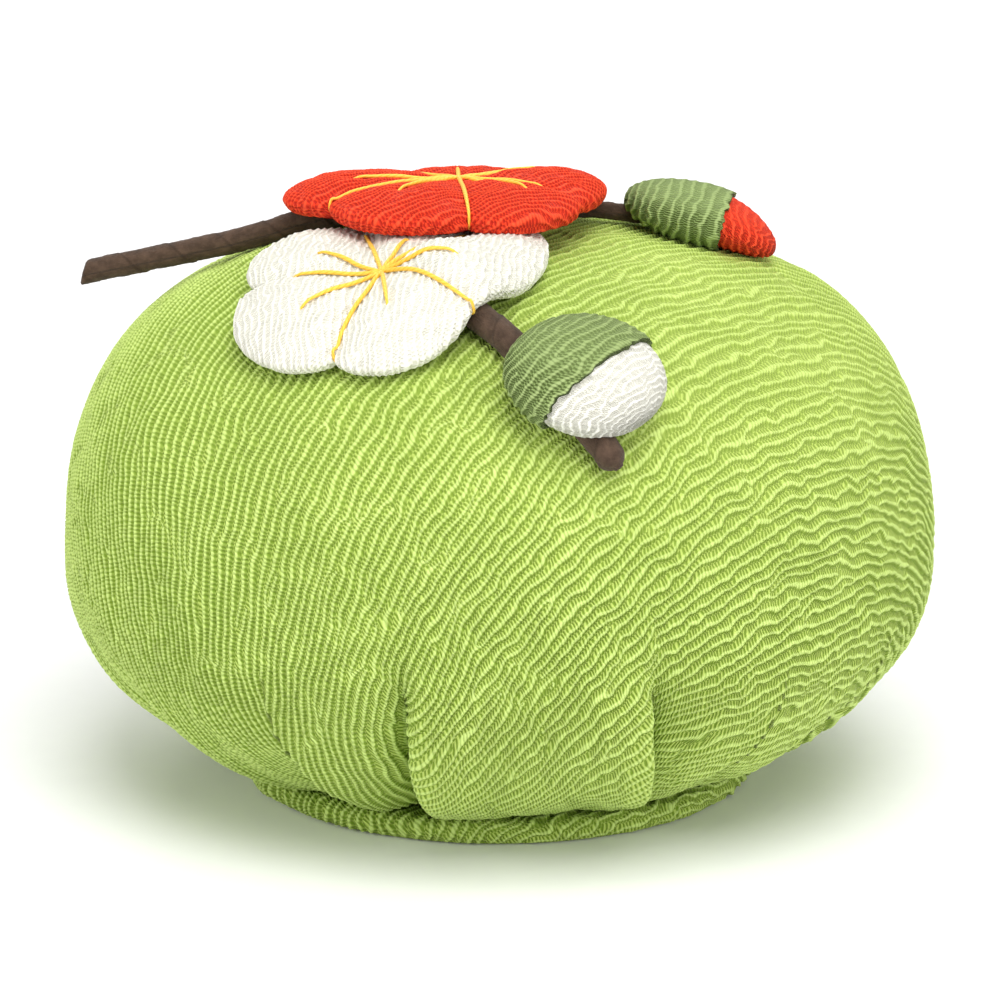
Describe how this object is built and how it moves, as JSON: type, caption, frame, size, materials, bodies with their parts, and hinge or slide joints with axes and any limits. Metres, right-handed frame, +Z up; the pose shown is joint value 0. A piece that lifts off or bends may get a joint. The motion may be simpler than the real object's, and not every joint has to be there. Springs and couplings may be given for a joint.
{
  "type": "pin cushion",
  "caption": "Round stuffed crepe pin cushion on a covered card base, trimmed with a paper-wrapped plum branch, two puffed blossoms and two buds.",
  "frame": {"origin": "middle of the flat underside of the base", "axes": "+Z up out of the top of the bun, -Y towards the side with the white blossom and its bud, +X towards the red bud"},
  "size_m": [0.08, 0.08, 0.0589],
  "materials": {
    "green_crepe": "light green silk crepe with strong wavy ridges",
    "white_crepe": "off-white crepe with faint ridges",
    "red_crepe": "vermilion crepe with rope-like ridges",
    "sage_crepe": "sage green crepe, open ladder-like threads",
    "yellow_floss": "yellow embroidery floss, slight silky sheen",
    "gathering_thread": "plain sewing thread",
    "cotton_filling": "loose cotton filling",
    "paper_tape": "dark brown crinkled paper tape, matt",
    "steel_wire": "plain florist's wire",
    "card": "grey-brown craft card"
  },
  "bodies": {
    "root": {"base_cover": "green_crepe", "base_card": "card", "cushion_cover": "green_crepe", "cushion_stuffing": "cotton_filling", "gathering_thread": "gathering_thread", "main_branch_wrap": "paper_tape", "main_branch_wire": "steel_wire", "side_branch_wrap": "paper_tape", "side_branch_wire": "steel_wire", "white_blossom_front": "white_crepe", "white_blossom_back": "white_crepe", "white_blossom_padding": "cotton_filling", "white_petal_tie_1": "yellow_floss", "white_stamen_1": "yellow_floss", "white_petal_tie_2": "yellow_floss", "white_stamen_2": "yellow_floss", "white_petal_tie_3": "yellow_floss", "white_stamen_3": "yellow_floss", "white_petal_tie_4": "yellow_floss", "white_stamen_4": "yellow_floss", "white_petal_tie_5": "yellow_floss", "white_stamen_5": "yellow_floss", "white_bud_calyx": "sage_crepe", "white_bud_petal": "white_crepe", "white_bud_padding": "cotton_filling", "red_blossom_front": "red_crepe", "red_blossom_back": "red_crepe", "red_blossom_padding": "cotton_filling", "red_petal_tie_1": "yellow_floss", "red_stamen_1": "yellow_floss", "red_petal_tie_2": "yellow_floss", "red_stamen_2": "yellow_floss", "red_petal_tie_3": "yellow_floss", "red_stamen_3": "yellow_floss", "red_petal_tie_4": "yellow_floss", "red_stamen_4": "yellow_floss", "red_petal_tie_5": "yellow_floss", "red_stamen_5": "yellow_floss", "red_bud_calyx": "sage_crepe", "red_bud_petal": "red_crepe", "red_bud_padding": "cotton_filling"}
  },
  "joints": []
}
